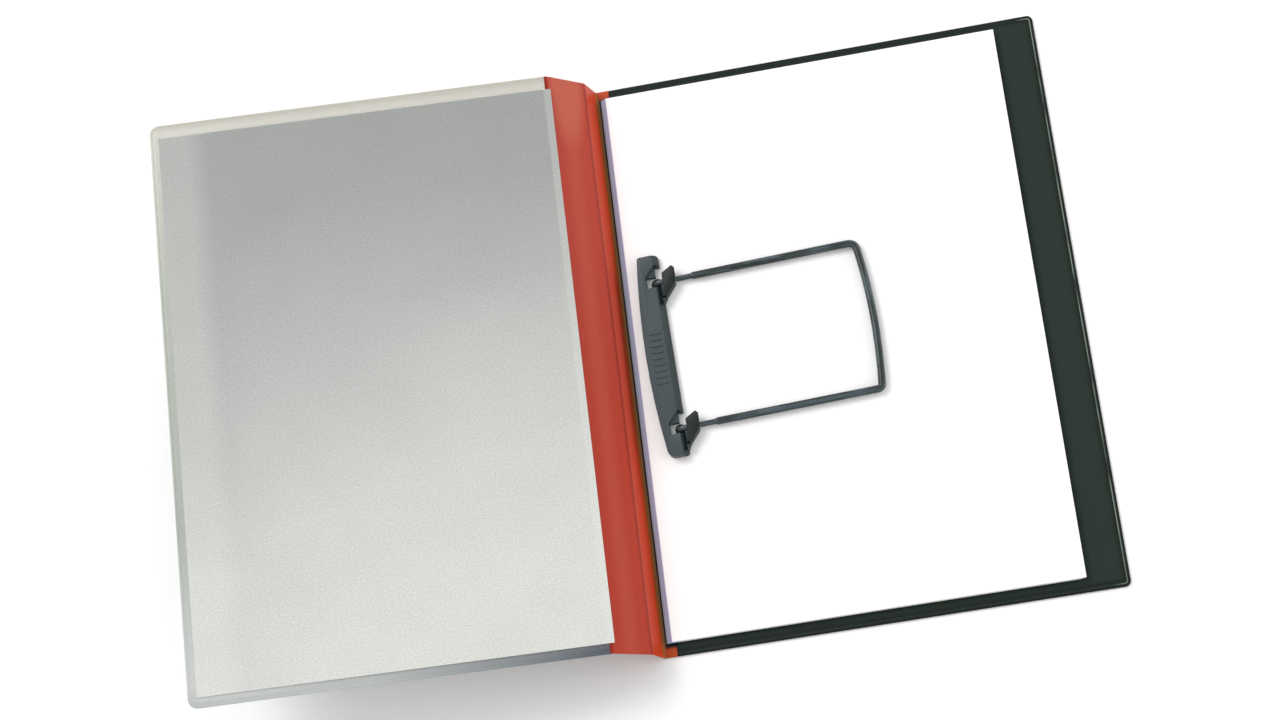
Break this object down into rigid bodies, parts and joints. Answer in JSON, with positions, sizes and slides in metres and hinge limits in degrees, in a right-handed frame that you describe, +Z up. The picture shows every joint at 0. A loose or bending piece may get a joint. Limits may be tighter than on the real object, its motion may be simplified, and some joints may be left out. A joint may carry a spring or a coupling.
{
  "type": "clip folder",
  "caption": "Open A4 clip folder: dark back cover, red creased spine, clear front cover with matt lining, and punched sheets held by a bar with claws and a folding plastic hoop.",
  "frame": {"origin": "middle of the back cover's underside, where it lies on the table", "axes": "+Z up, +Y to the top edge of the folder, +X from the spine to the back cover's free edge"},
  "size_m": [0.4656, 0.31, 0.063],
  "materials": {
    "dark_vinyl": "satin grained vinyl",
    "red_vinyl": "soft satin vinyl",
    "clear_film": "clear glossy film",
    "matt_lining": "fine matt",
    "white_paper": "uncoated",
    "bar_plastic": "moulded satin",
    "clip_plastic": "moulded semi-gloss"
  },
  "bodies": {
    "back": {"back_cover": "dark_vinyl", "spine_strip_margin": "red_vinyl", "sheet_stack": "white_paper", "clip_base": "clip_plastic", "clip_bar": "bar_plastic", "hoop_bend_upper": "clip_plastic", "hoop_bend_lower": "clip_plastic"},
    "spine": {"spine_strip_back": "red_vinyl"},
    "band": {"spine_strip_band": "red_vinyl"},
    "front": {"front_cover_film": "clear_film", "front_cover_lining": "matt_lining"},
    "hoop": {"clip_hoop": "clip_plastic"}
  },
  "joints": [
    {"name": "spine_fold", "type": "hinge", "parent": "back", "child": "spine", "pos_m": [-0.1185, 0, 0.001], "axis": [0, 1, 0], "range_deg": [-0.7, 11]},
    {"name": "band_crease", "type": "hinge", "parent": "spine", "child": "band", "pos_m": [-0.12161, 0, 0.017], "axis": [0, 1, 0], "range_deg": [-7.5, 121]},
    {"name": "cover_crease", "type": "hinge", "parent": "band", "child": "front", "pos_m": [-0.13834, 0, 0.03558], "axis": [0, 1, 0], "range_deg": [-7.5, 40.6]},
    {"name": "hoop_swing", "type": "hinge", "parent": "back", "child": "hoop", "pos_m": [-0.0964, 0.0007, 0.00725], "axis": [-0.0349, 0.9994, 0], "range_deg": [-90, 0], "deforming": ["hoop_bend_upper", "hoop_bend_lower"]}
  ],
  "couplings": [
    {"joint": "spine_fold", "follows": "band_crease", "ratio": 0.0909}
  ]
}
